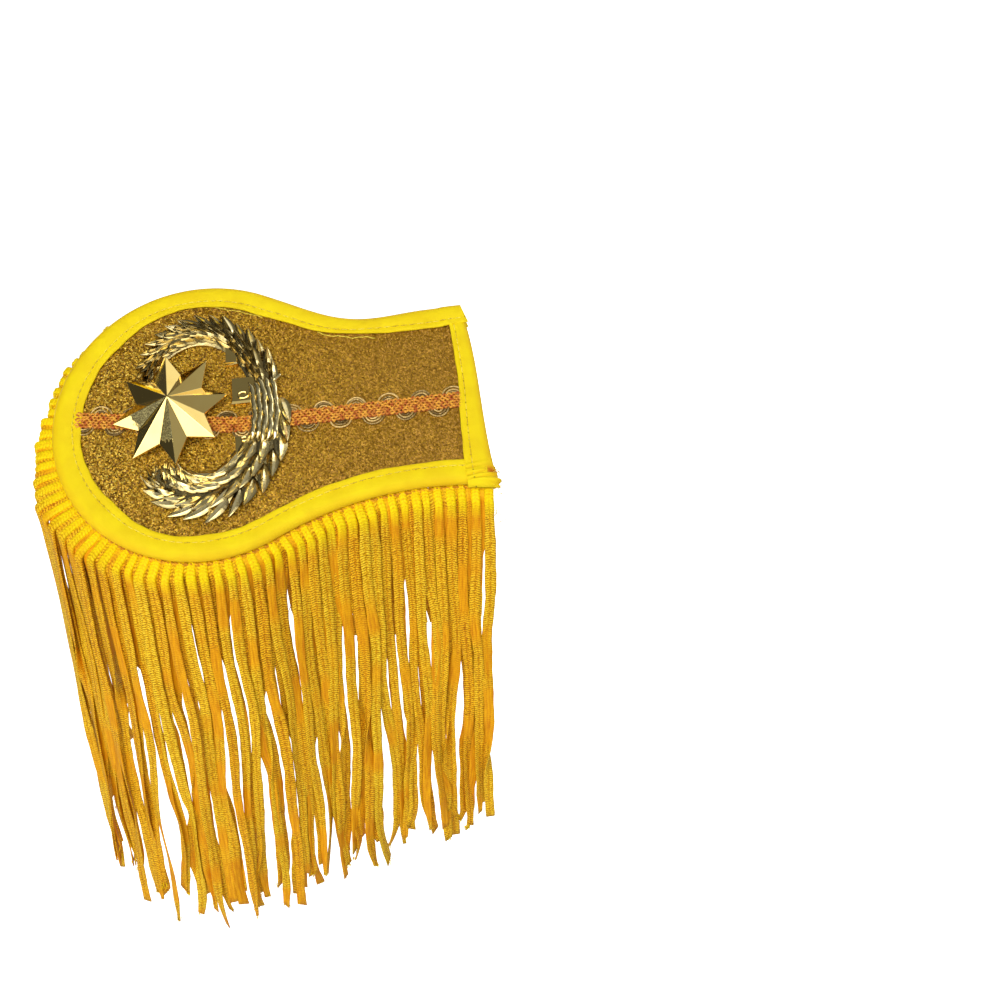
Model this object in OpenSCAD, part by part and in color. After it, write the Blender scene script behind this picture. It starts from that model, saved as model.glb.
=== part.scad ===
// Bullion epaulette: a tilted shoulder board with a bound rim, a braid, two badges and a hanging fringe

/* [Board] */
// Length of the board from the strap end to the tip of the head
board_len = 148.4; // [120:0.2:190]
// Radius of the round head
head_r = 52; // [44:0.5:58]
// Width of the board at its waist
waist_w = 68; // [54:1:78]
// Distance from the strap end to the waist
waist_s = 20; // [8:1:30]
// Thickness of the stiff board with its cloth
board_t = 2; // [1.5:0.1:3]

/* [Binding tape] */
// Width of the folded tape on each face of the board
tape_w = 8.4; // [6:0.2:10]
// Thickness of the tape
tape_t = 1; // [1:0.1:1.4]
// Play between the tape and the board
tape_play = 0.2; // [0.1:0.05:0.4]

/* [Pose] */
// Angle by which the near side hangs lower than the far side
roll = 34; // [0:1:40]
// Angle by which the head hangs lower than the strap end
droop = 4; // [0:1:15]
// Distance of the seat from the strap end
seat_s = 40; // [30:1:50]
// Gap between pieces that lie on each other
rest_gap = 0.3; // [0.2:0.05:0.4]

/* [Centre braid] */
// Width of the braid without its picots
braid_w = 5.6; // [4:0.2:8]
// Thickness of the braid
braid_t = 0.9; // [0.6:0.1:1.2]
// Place of the braid across the strap, off the middle
braid_strap_y = -4.2; // [-6:0.2:6]
// Place of the braid across the head end, off the middle
braid_head_y = 3.8; // [-6:0.2:6]
// Distance from one picot to the next on the same side
picot_pitch = 10.6; // [8:0.2:14]
// Radius of a picot loop
picot_r = 3.6; // [2.4:0.2:4.4]

/* [Star badge] */
// Radius to the tips of the star
star_r = 20.3; // [14:0.1:22]
// Radius to the notches between the rays
star_notch_r = 11.2; // [7:0.1:13]
// Number of rays
star_rays = 8; // [5:1:12]
// Turn of the star about its own middle
star_turn = 6.9; // [0:0.1:45]
// Distance of the star's middle past the head's middle
star_past = 10.6; // [4:0.2:15]
// Place of the star across the board
star_y = 2.6; // [0:0.1:5]
// Height of the star's rim above the board
star_lift = 3.2; // [3.1:0.1:5]
// Height of the star's upright skirt
star_skirt = 0.9; // [0.6:0.1:2]
// Height of the faceted pyramid
star_rise = 8; // [4:0.5:12]
// Radius of the two pegs under the star
peg_r = 1.4; // [1:0.1:1.6]

/* [Wreath badge] */
// Distance of the wreath's middle past the head's middle
wreath_past = 0.6; // [-4:0.2:3]
// Half length of the wreath's middle line along the board
wreath_a = 22.8; // [20:0.2:26]
// Half width of the wreath's middle line across the board
wreath_b = 32; // [28:0.2:34]
// Width of the wreath's cast base
wreath_w = 9.5; // [7:0.5:12]
// Thickness of the wreath's cast base
wreath_t = 1.2; // [0.8:0.1:1.6]
// Angle from the tie to the end of each arm
arm_angle = 146; // [120:1:155]
// Angle from the tie to the first leaves
tie_angle = 15; // [10:1:25]
// Number of leaves in each row of an arm
row_leaves = 12; // [8:1:15]
// Length of a leaf
leaf_l = 9.6; // [7:0.2:12]
// Width of a leaf
leaf_w = 3.7; // [2.6:0.1:4.6]
// Height of a leaf's midrib above its edge
leaf_h = 1.1; // [0.6:0.1:1.6]

/* [Fringe] */
// Length of the fringe below the rim at the tip of the head
fringe_len = 190; // [80:1:220]
// How much shorter the fringe is at the strap end than at the head
strap_less = 24; // [0:1:40]
// How much shorter the fringe is on the far side than on the near side
far_less = 28; // [0:1:40]
// How far the fringe's lower end stands out past its top at the head
head_lean = 14; // [0:1:20]
// Width of the header tape under the rim
header_w = 6; // [4:0.5:9]
// Thickness of the header tape
header_t = 1.6; // [1:0.1:2.5]
// Distance of the header's outer edge from the rim
header_in = 1.5; // [0.5:0.5:3]
// Distance from one lock to the next along the rim
lock_pitch = 6; // [5:0.5:12]
// Depth of a lock, front to back
lock_t = 4.4; // [3:0.2:6]
// How far the locks stand out from the near rim
bulge_near = 5; // [2:0.5:8]
// How far the locks stand out from the far rim
bulge_far = 1; // [0.5:0.5:4]
// How much shorter the shortest lock is than the longest, as a share
ragged = 0.03; // [0:0.01:0.1]

/* [Pin bar] */
// Length of the pin bar
pin_len = 30; // [20:1:40]
// Width of the pin bar's plate
pin_w = 6; // [4:0.5:10]
// Radius of the pin's wire
pin_r = 0.9; // [0.6:0.1:1.4]
// Thickness of the pin bar's plate
plate_t = 0.8; // [0.6:0.1:1.2]

/* [Hidden] */
$fn = 96;

// Places along the board: X runs towards the strap end, and the seat is at 0
end_x = seat_s;
head_x = seat_s - (board_len - head_r);
waist_x = seat_s - waist_s;

// Each side of the waist is an arc that runs smoothly into the head's circle
waist_r = (pow(waist_x - head_x, 2) + pow(waist_w / 2, 2) - pow(head_r, 2))
          / (2 * (head_r - waist_w / 2));
waist_y = waist_w / 2 + waist_r;
meet_angle = atan2(waist_y, waist_x - head_x);
side_start = 360 - acos((end_x - waist_x) / waist_r);
side_turn = side_start - (180 + meet_angle);
side_len = waist_r * side_turn * PI / 180;
head_turn = 360 - 2 * meet_angle;
rim_len = 2 * side_len + head_r * head_turn * PI / 180;

// Levels of the layers, counted from the underside of the board
tape_low = -tape_play - tape_t;
tape_high = board_t + tape_play + tape_t;
edge_r = (tape_high - tape_low) / 2;
board_in = tape_t + tape_play;
seat_z = board_t + rest_gap;
header_z = tape_low - rest_gap;
braid_z = board_t + tape_play;

// Length past which a cutting solid clears the whole board
far_out = 3 * board_len;

// Turns a point of the level board to where it is on the tilted board
function tilt(p) =
    let (y = p.y * cos(roll) - p.z * sin(roll), z = p.y * sin(roll) + p.z * cos(roll))
    [p.x * cos(droop) - z * sin(droop), y, p.x * sin(droop) + z * cos(droop)];

module tilted() {
    rotate([roll, -droop, 0]) children();
}

// Point of the rim at distance v from the strap end on one side, with its outward normal
function side_rim(v, side) =
    let (a = side_start - v / waist_r * 180 / PI)
    [[waist_x + waist_r * cos(a), side * (waist_y + waist_r * sin(a))], [-cos(a), -side * sin(a)]];

function head_rim(w) =
    let (a = 360 - meet_angle - w / head_r * 180 / PI)
    [[head_x + head_r * cos(a), head_r * sin(a)], [cos(a), sin(a)]];

// Point and outward normal at distance u along the rim, from the near side round the head
function rim(u) =
    u < side_len ? side_rim(u, -1)
    : u > rim_len - side_len ? side_rim(rim_len - u, 1)
    : head_rim(u - side_len);

// Flat outline of the board, drawn in by one distance all round: the head's circle and the
// arcs of the sides are each cut off where they meet
module outline(inset, sides = 96) {
    meet_x = head_x + (head_r - inset) * cos(meet_angle);
    difference() {
        translate([head_x, 0]) circle(head_r - inset, $fn = sides);
        translate([meet_x, -head_r]) square(2 * head_r);
    }
    difference() {
        translate([meet_x, -head_r]) square([end_x - inset - meet_x, 2 * head_r]);
        for (side = [-1, 1])
            translate([waist_x, side * waist_y]) circle(waist_r + inset, $fn = 2.5 * sides);
    }
}

module slab(inset, low, high) {
    translate([0, 0, low]) linear_extrude(high - low) outline(inset);
}

// Space behind a straight line across the board
module beyond(x) {
    translate([x, -far_out / 2, -far_out / 2]) cube(far_out);
}

// Convex solid round a list of points
module solid_of(points) {
    hull() polyhedron(points, [for (i = [0 : len(points) - 3]) [i, i + 1, i + 2]]);
}

module board() {
    color([0.56, 0.42, 0.1]) tilted() slab(board_in, 0, board_t);
}

// Space that the board and its play take up inside the tape
module pocket() {
    slab(tape_t, -tape_play, board_t + tape_play);
}

module edge_binding() {
    color([0.96, 0.86, 0.08]) tilted() difference() {
        slab(0, tape_low, tape_high);
        pocket();
        slab(tape_w, tape_low - 1, tape_high + 1);
        beyond(end_x - tape_w - rest_gap);
    }
}

module end_binding() {
    color([0.96, 0.86, 0.08]) tilted() difference() {
        intersection() {
            slab(0, tape_low, tape_high);
            translate([end_x, far_out / 2, 0])
                rotate([90, 0, 0]) linear_extrude(far_out) mirror([1, 0]) union() {
                    translate([edge_r, tape_low]) square([tape_w - edge_r, tape_high - tape_low]);
                    translate([edge_r, (tape_high + tape_low) / 2]) circle(edge_r, $fn = 48);
                }
        }
        pocket();
    }
}

// Line along which the braid is laid: straight, with one bend under the wreath
braid_bend = [head_x - wreath_past + wreath_a / 2, braid_strap_y];
braid_line = [[end_x - tape_w - rest_gap, braid_strap_y], braid_bend,
              [seat_s - board_len + tape_w + rest_gap, braid_head_y]];

function between(a, b, share) = a + (b - a) * share;

// Ribbon of one width along a line of points that runs roughly along X
module ribbon(line, width) {
    polygon(concat([for (p = line) p + [0, width / 2]],
                   [for (i = [len(line) - 1 : -1 : 0]) line[i] - [0, width / 2]]));
}

module picots() {
    for (part = [0, 1]) {
        a = braid_line[part];
        b = braid_line[part + 1];
        count = floor(norm(b - a) / picot_pitch);
        for (side = [0, 1], i = [0 : count - 1])
            translate(between(a, b, (i + 0.25 + side / 2) / count))
                translate([0, (side - 0.5) * (braid_w - picot_r / 2)]) circle(picot_r, $fn = 24);
    }
}

module centre_braid() {
    color([0.85, 0.5, 0.12]) tilted() translate([0, 0, braid_z]) linear_extrude(braid_t)
        intersection() {
            union() {
                ribbon(braid_line, braid_w);
                picots();
            }
            outline(tape_w + rest_gap);
        }
}

// Star outline points at one height, tips and notches in turn
function star_ring(z) =
    [for (i = [0 : 2 * star_rays - 1])
        let (a = star_turn + i * 180 / star_rays, r = i % 2 == 0 ? star_r : star_notch_r)
        [r * cos(a), r * sin(a), z]];

module faceted_star() {
    count = 2 * star_rays;
    polyhedron(
        concat(star_ring(0), star_ring(star_skirt), [[0, 0, star_skirt + star_rise], [0, 0, 0]]),
        concat([for (i = [0 : count - 1]) [i, i + count, (i + 1) % count + count, (i + 1) % count]],
               [for (i = [0 : count - 1]) [i + count, 2 * count, (i + 1) % count + count]],
               [for (i = [0 : count - 1]) [2 * count + 1, i, (i + 1) % count]]));
}

module star_badge() {
    peg_y = [star_notch_r * 0.75, -star_notch_r * 0.95];
    color([0.86, 0.78, 0.52]) tilted() translate([head_x - star_past, star_y, 0]) {
        translate([0, 0, board_t + star_lift]) faceted_star();
        for (y = peg_y)
            translate([0, y, seat_z]) cylinder(h = star_lift - rest_gap + star_skirt / 2, r = peg_r);
    }
}

// Middle line of the wreath and its outward normal at an angle from the tie
function wreath_at(a) = [wreath_a * cos(a), wreath_b * sin(a)];
function wreath_out(a) = let (n = [cos(a) / wreath_a, sin(a) / wreath_b]) n / norm(n);

module wreath_base() {
    steps = [-arm_angle : 4 : arm_angle];
    linear_extrude(wreath_t)
        polygon(concat([for (a = steps) wreath_at(a) + wreath_out(a) * wreath_w / 2 * arm_taper(a)],
                       [for (a = steps) wreath_at(-a) - wreath_out(-a) * wreath_w / 2 * arm_taper(a)]));
}

// Share of the full width that an arm keeps towards its end
function arm_taper(a) = 1 - 0.5 * pow(abs(a) / arm_angle, 6);

// One leaf with a raised midrib, from its stalk at the origin along X, on a foot of one depth
module leaf(size, depth) {
    length = leaf_l * size;
    half = leaf_w / 2 * size;
    tip_z = leaf_h * 0.8;
    solid_of([[0, 0, 0], [length * 0.4, half, 0], [length * 0.4, -half, 0], [length, 0, tip_z],
              [length * 0.12, 0, leaf_h * 0.7], [length * 0.5, 0, leaf_h * 1.3],
              [length * 0.1, 0, -depth], [length * 0.4, half * 0.6, -depth],
              [length * 0.4, -half * 0.6, -depth]]);
}

// Rows of leaves: place across the arm as a share of its half width, turn, rise and shift
ROWS = [[0.45, 34, 0.1, 0], [-0.45, -34, 0, 0], [0, 0, 0.9, 0.5]];
row_place = 0;
row_splay = 1;
row_rise = 2;
row_shift = 3;

module arm() {
    step = (arm_angle - tie_angle) / row_leaves;
    for (row = ROWS, i = [0 : row_leaves - 1]) {
        a = tie_angle + (i + row[row_shift]) * step;
        size = arm_taper(a + step);
        at = wreath_at(a) + wreath_out(a) * row[row_place] * wreath_w / 2 * size;
        along = atan2(wreath_b * cos(a), -wreath_a * sin(a));
        translate([at.x, at.y, wreath_t + row[row_rise] * leaf_h])
            rotate([0, 0, along - row[row_splay]])
                leaf(size, wreath_t / 2 + row[row_rise] * leaf_h);
    }
}

// Round bars that lie side by side through the tie, as the branches' stems
stems = 5;
stem_r = wreath_w / stems / 2;

module stem_bars() {
    for (k = [0 : stems - 1], i = [-4 : 3])
        hull() for (j = [i, i + 1]) {
            a = j * tie_angle / 3;
            at = wreath_at(a) + wreath_out(a) * (k - (stems - 1) / 2) * stem_r * 2;
            translate([at.x, at.y, wreath_t]) sphere(stem_r * 1.1, $fn = 8);
        }
}

// Lugs on the wreath's inner side: place from the wreath's middle, size and stud radius
LUGS = [[[14.7, 8.4], [8.6, 10], 1.2], [[11.5, 22.5], [4, 7], 0], [[14, -13.5], [5, 6.5], 0.8]];
lug_h = 2.6;

module lugs() {
    for (lug = LUGS)
        translate([lug[0].x, lug[0].y, 0]) {
            translate([-lug[1].x / 2, -lug[1].y / 2, 0]) cube([lug[1].x, lug[1].y, lug_h]);
            if (lug[2] > 0) cylinder(h = lug_h + lug[2] / 2, r = lug[2], $fn = 16);
        }
}

module wreath_badge() {
    color([0.78, 0.72, 0.5]) tilted() difference() {
        translate([head_x - wreath_past, 0, seat_z]) {
            wreath_base();
            arm();
            mirror([0, 1, 0]) arm();
            stem_bars();
            lugs();
        }
        linear_extrude(braid_z + braid_t + rest_gap) intersection() {
            ribbon(braid_line, braid_w + 2 * rest_gap + 2 * picot_r);
            translate([head_x - wreath_past, 0]) square([far_out, far_out], center = true);
        }
    }
}

// Places of the locks along the rim, and their widths as shares of the step: at the top, where
// they overlap, below the turn and at the foot
lock_first = lock_pitch / 2;
locks = floor((rim_len - 2 * lock_first) / lock_pitch);
lock_step = (rim_len - 2 * lock_first) / locks;
lock_overlap = 1.13;
lock_body = 0.92;
lock_foot = 0.84;

module header() {
    translate([0, 0, header_z - header_t]) linear_extrude(header_t) difference() {
        outline(header_in, 40);
        outline(header_in + header_w, 40);
        translate([end_x - header_in - header_w - 1, -waist_w / 3])
            square([far_out, waist_w * 2 / 3]);
    }
}

// Four corners of a lock's section round a middle point
function corners(middle, across, through, width, depth) =
    [for (s = [[-1, -1], [1, -1], [1, 1], [-1, 1]])
        middle + across * s.x * width / 2 + through * s.y * depth / 2];

// Share by which a lock is shorter than the longest, from a rule that looks uneven
function shortfall(i) = ragged * (0.5 + 0.5 * sin(i * 131 + 40 * sin(i * 57)));

module lock(i) {
    place = rim(lock_first + i * lock_step);
    out = place[1];
    farness = pow((1 + out.y) / 2, 2);
    strap_share = (place[0].x - (end_x - board_len)) / board_len;
    bulge = bulge_near - (bulge_near - bulge_far) * farness;
    normal = tilt([0, 0, 1]);
    across = tilt([-out.y, out.x, 0]);
    sideways = cross([0, 0, 1], across);
    mid_z = header_z - header_t / 2;
    root_xy = place[0] - out * (header_in + header_w / 2);
    lip_xy = place[0] + out * bulge * 0.5;
    turn_xy = place[0] + out * bulge;
    turn = tilt([turn_xy.x, turn_xy.y, header_z - header_t]) - [0, 0, lock_t / 2];
    drop = (fringe_len - strap_less * strap_share - far_less * farness) * (1 - shortfall(i));
    foot = turn - [head_lean * (1 - strap_share), 0, drop];
    width = lock_step * lock_overlap;
    solid_of(concat(
        corners(tilt([root_xy.x, root_xy.y, mid_z]), across, normal, width, header_t * 0.8),
        corners(tilt([lip_xy.x, lip_xy.y, mid_z]), across, normal, width, header_t),
        corners(turn, across, sideways, width, lock_t)));
    solid_of(concat(
        corners(turn + [0, 0, lock_t / 4], across, sideways, lock_step * lock_body, lock_t * 0.94),
        corners(foot, across, sideways, lock_step * lock_foot, lock_t * 0.6)));
}

module fringe() {
    color([0.9, 0.68, 0.08]) {
        tilted() header();
        for (i = [0 : locks]) lock(i);
    }
}

module pin_bar() {
    leg = [pin_w / 2, pin_w * 0.6, 3 * pin_r];
    color([0.72, 0.72, 0.7]) tilted() translate([0, 0, -rest_gap - plate_t]) {
        translate([-pin_len / 2, -pin_w / 2, 0]) cube([pin_len, pin_w, plate_t]);
        for (side = [-1, 1])
            translate([side * (pin_len - leg.x) / 2 - leg.x / 2, -leg.y / 2, -leg.z]) cube(leg);
        translate([-pin_len / 2, 0, -2 * pin_r]) rotate([0, 90, 0]) cylinder(h = pin_len, r = pin_r);
    }
}

board();
edge_binding();
end_binding();
centre_braid();
wreath_badge();
star_badge();
fringe();
pin_bar();
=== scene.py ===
"""Looks of a bullion epaulette: a tilted shoulder board with a bound rim, a knitted braid, a cast
wreath and star, and a fringe of flat knitted cords."""

import math
import random

import bmesh
import bpy
import numpy as np
from mathutils import Matrix, Vector


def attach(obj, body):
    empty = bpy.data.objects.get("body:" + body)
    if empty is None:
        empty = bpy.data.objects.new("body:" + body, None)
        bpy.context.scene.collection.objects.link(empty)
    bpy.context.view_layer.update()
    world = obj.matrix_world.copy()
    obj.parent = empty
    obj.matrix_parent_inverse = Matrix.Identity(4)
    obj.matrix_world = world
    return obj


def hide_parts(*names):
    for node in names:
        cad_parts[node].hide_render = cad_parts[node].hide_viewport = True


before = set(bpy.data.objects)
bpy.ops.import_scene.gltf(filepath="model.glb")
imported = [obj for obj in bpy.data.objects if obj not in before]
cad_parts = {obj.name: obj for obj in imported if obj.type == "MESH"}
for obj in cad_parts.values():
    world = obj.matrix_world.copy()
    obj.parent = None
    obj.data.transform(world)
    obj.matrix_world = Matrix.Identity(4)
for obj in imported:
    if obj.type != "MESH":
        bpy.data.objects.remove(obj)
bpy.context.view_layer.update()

scene = bpy.context.scene
MM = 0.001

# Driving sizes of the board in millimetres, the same as in the frame
BOARD_LEN = 148.4
HEAD_R = 52.0
WAIST_W = 68.0
WAIST_S = 20.0
SEAT_S = 40.0
BOARD_T = 2.0
TAPE_W = 8.4
TAPE_T = 1.0
PLAY = 0.2
GAP = 0.3
ROLL = math.radians(34)
DROOP = math.radians(4)

# Places worked out from them: X runs towards the strap end, Y to the far side, Z out of the board
END_X = SEAT_S
HEAD_X = SEAT_S - (BOARD_LEN - HEAD_R)
WAIST_X = SEAT_S - WAIST_S
WAIST_R = ((WAIST_X - HEAD_X) ** 2 + (WAIST_W / 2) ** 2 - HEAD_R ** 2) / (2 * HEAD_R - WAIST_W)
WAIST_Y = WAIST_W / 2 + WAIST_R
MEET = math.atan2(WAIST_Y, WAIST_X - HEAD_X)
SIDE_START = 2 * math.pi - math.acos((END_X - WAIST_X) / WAIST_R)
SIDE_LEN = WAIST_R * (SIDE_START - math.pi - MEET)
RIM_LEN = 2 * SIDE_LEN + HEAD_R * (2 * math.pi - 2 * MEET)
TAPE_LOW = -PLAY - TAPE_T
TAPE_HIGH = BOARD_T + PLAY + TAPE_T
HEADER_T = 1.6
HEADER_W = 6.0
HEADER_IN = 1.5
HEADER_Z = TAPE_LOW - GAP

TILT = np.array(Matrix.Rotation(-DROOP, 3, "Y") @ Matrix.Rotation(ROLL, 3, "X"))


def tilted(points):
    """Turns points or directions of the level board to the tilted board, in millimetres."""
    return np.asarray(points, float) @ TILT.T


def unit(vectors):
    return vectors / np.linalg.norm(vectors, axis=-1, keepdims=True)


def ease(t):
    """A smooth step from 0 to 1."""
    t = np.clip(t, 0, 1)
    return t * t * (3 - 2 * t)


def rim(u):
    """Points and outward normals of the flat outline at distances u from the near strap end."""
    u = np.asarray(u, float)
    side = np.where(u < RIM_LEN / 2, -1.0, 1.0)
    a = SIDE_START - np.where(u < RIM_LEN / 2, u, RIM_LEN - u) / WAIST_R
    b = -MEET - (u - SIDE_LEN) / HEAD_R
    strap = np.stack([WAIST_X + WAIST_R * np.cos(a), side * (WAIST_Y + WAIST_R * np.sin(a))], -1)
    strap_out = np.stack([-np.cos(a), -side * np.sin(a)], -1)
    head_out = np.stack([np.cos(b), np.sin(b)], -1)
    head = HEAD_R * head_out + [HEAD_X, 0]
    on_head = ((u > SIDE_LEN) & (u < RIM_LEN - SIDE_LEN))[..., None]
    return np.where(on_head, head, strap), np.where(on_head, head_out, strap_out)


def half_width(x, inset=0.0):
    """Half width of the strap at a place along it, drawn in from the rim by an inset."""
    return WAIST_Y - np.sqrt((WAIST_R + inset) ** 2 - (np.asarray(x) - WAIST_X) ** 2)


END_HALF = float(half_width(END_X))


def waves(x, seed, lengths, heights):
    """A smooth uneven line: a sum of waves with seeded phases."""
    draw = random.Random(seed)
    total = np.zeros_like(np.asarray(x, float))
    for length, height in zip(lengths, heights):
        total += height * np.sin(2 * math.pi * (x / length + draw.random()))
    return total


def scatter(draw, *spans):
    """A point or direction with each part drawn from its own span."""
    return np.array([draw.uniform(*span) for span in spans])


class Pile:
    """Points and faces of many shapes, gathered for one object. Points are in tilted millimetres."""

    def __init__(self):
        self.points = []
        self.corners = []
        self.sizes = []
        self.uvs = []
        self.tones = []
        self.drops = []
        self.count = 0

    def faces(self, corners, uvs):
        self.corners.append(corners.ravel())
        self.sizes.append(np.full(len(corners), corners.shape[1]))
        self.uvs.append(uvs.reshape(-1, 2))

    def grid(self, rows, across=None, along=None, tone=0.5, drop=None):
        """Joins closed rows of points, an array of rows x points x 3, into one skin with end caps."""
        n, m = rows.shape[:2]
        across = np.linspace(0, 1, m + 1) if across is None else across
        along = np.arange(n, dtype=float) if along is None else along
        index = self.count + np.arange(n * m).reshape(n, m)
        index = np.concatenate([index, index[:, :1]], 1)
        quads = np.stack([index[:-1, :-1], index[:-1, 1:], index[1:, 1:], index[1:, :-1]], -1)
        uv = np.stack(np.meshgrid(across[:m + 1], along), -1)
        quad_uv = np.stack([uv[:-1, :-1], uv[:-1, 1:], uv[1:, 1:], uv[1:, :-1]], -2)
        p = (rows - rows.mean((0, 1))).reshape(-1, 3)
        q = quads.reshape(-1, 4) - self.count
        turn = np.einsum("ij,ij->i", p[q[:, 0]], np.cross(p[q[:, 1]], p[q[:, 2]])).sum()
        step = -1 if turn < 0 else 1
        self.faces(quads.reshape(-1, 4)[:, ::step], quad_uv.reshape(-1, 4, 2)[:, ::step])
        for end, way in ((0, -step), (-1, step)):
            self.faces(index[end, :m][::way][None], uv[end, :m][::way][None])
        self.points.append(rows.reshape(-1, 3))
        self.tones.append(np.broadcast_to(tone, (n, m)).ravel() if np.ndim(tone) != 1
                          else np.repeat(tone, m))
        self.drops.append(np.repeat(np.zeros(n) if drop is None else drop, m))
        self.count += n * m

    def tube(self, path, radius, sides, tone=0.5):
        """A round thread along a path on the board."""
        self.grid(swept(path, ring(radius, sides), BOARD_UP), tone=tone)

    def make(self, name, material, slot, stands_for=(), smooth=True):
        mesh = bpy.data.meshes.new(name)
        points = np.concatenate(self.points) * MM
        corners = np.concatenate(self.corners)
        sizes = np.concatenate(self.sizes)
        mesh.vertices.add(len(points))
        mesh.vertices.foreach_set("co", points.ravel())
        mesh.loops.add(len(corners))
        mesh.loops.foreach_set("vertex_index", corners)
        mesh.polygons.add(len(sizes))
        mesh.polygons.foreach_set("loop_start", np.concatenate([[0], np.cumsum(sizes)[:-1]]))
        mesh.polygons.foreach_set("use_smooth", np.full(len(sizes), smooth))
        mesh.update(calc_edges=True)
        mesh.uv_layers.new(name="UVMap").data.foreach_set("uv", np.concatenate(self.uvs).ravel())
        for label, values in (("tone", self.tones), ("drop", self.drops)):
            layer = mesh.attributes.new(label, "FLOAT", "POINT")
            layer.data.foreach_set("value", np.concatenate(values).astype(np.float32))
        mesh.validate()
        return place(name, mesh, material, slot, stands_for)


def added(name, data):
    """A new object in the scene."""
    made = bpy.data.objects.new(name, data)
    scene.collection.objects.link(made)
    return made


def mesh_of(name, form):
    """A mesh of a form that is then done with."""
    mesh = bpy.data.meshes.new(name)
    form.to_mesh(mesh)
    form.free()
    return mesh


def place(name, mesh, material, slot, stands_for=()):
    """Adds a piece with its material, and lets it ride on the one body. The slot is not used."""
    piece = added(name, mesh)
    mesh.materials.append(material)
    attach(piece, "root")
    if stands_for:
        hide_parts(*stands_for)
    return piece


def swept(path, section, up):
    """Rows of a section carried along a path: its x lies across, its y along up."""
    path = np.asarray(path, float)
    tangent = unit(np.gradient(path, axis=0))
    across = unit(np.cross(np.broadcast_to(up, path.shape), tangent))
    through = np.cross(tangent, across)
    section = np.broadcast_to(section, (len(path),) + np.shape(section)[-2:])
    return path[:, None] + across[:, None] * section[..., :1] + through[:, None] * section[..., 1:]


def ring(radius, sides):
    a = np.linspace(0, 2 * math.pi, sides, endpoint=False)
    return np.stack([radius * np.cos(a), radius * np.sin(a)], -1)


SKEW_FROM = 12.0
WAIST_PULL = 2.8
END_PULL = 1.4
PULL_FROM = -32.0
PULL_TO = 24.0


def skewed(xy):
    """The strap's end isn't quite square, and the far side of the waist is drawn in."""
    share = np.clip((xy[..., 0] - SKEW_FROM) / (END_X - SKEW_FROM), 0, 1) ** 2
    t = np.clip((xy[..., 1] + 3) / 30, -1.15, 1.2)
    far = np.clip(xy[..., 1] / 34, 0, 1) ** 2
    waist = np.sin(np.pi * np.clip((xy[..., 0] - PULL_FROM) / (PULL_TO - PULL_FROM), 0, 1)) ** 2
    pull = END_PULL * share ** 2 * far + WAIST_PULL * waist * ease((xy[..., 1] - 24) / 10)
    return np.stack([xy[..., 0] - share * (t + 1.15 * t ** 3), xy[..., 1] - pull], -1)


def on_board(xy, z):
    """Tilted points from flat ones and their heights."""
    xy = skewed(np.asarray(xy, float))
    return tilted(np.concatenate([xy, np.broadcast_to(z, xy.shape[:-1])[..., None]], -1))


BOARD_UP = tilted([0, 0, 1])

# Camera, at the photograph's viewing angle
FOCAL = 43.2
SENSOR = 36.0
EYE = np.array([15.3, -366.6, 209.1])
LOOK = np.array([0.0707, 0.8214, -0.5660])
SIDE = np.array([0.9963, -0.0863, 0.0])


def camera():
    """The one camera, turned so that its up lies upright in the picture."""
    data = bpy.data.cameras.new("camera")
    data.lens = FOCAL
    data.sensor_width = SENSOR
    data.clip_start = 0.01
    eye = added("camera", data)
    back = -unit(LOOK)
    side = unit(SIDE - back * (SIDE @ back))
    turn = np.stack([side, np.cross(back, side), back], 1)
    eye.matrix_world = Matrix.Translation(EYE * MM) @ Matrix(turn.tolist()).to_4x4()
    scene.camera = eye


camera()


# Materials
def linear(colour):
    """Linear colour with alpha of an sRGB colour given as 0 to 255."""
    shares = [v / 255 for v in colour]
    return (*(v / 12.92 if v <= 0.04045 else ((v + 0.055) / 1.055) ** 2.4 for v in shares), 1)


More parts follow.
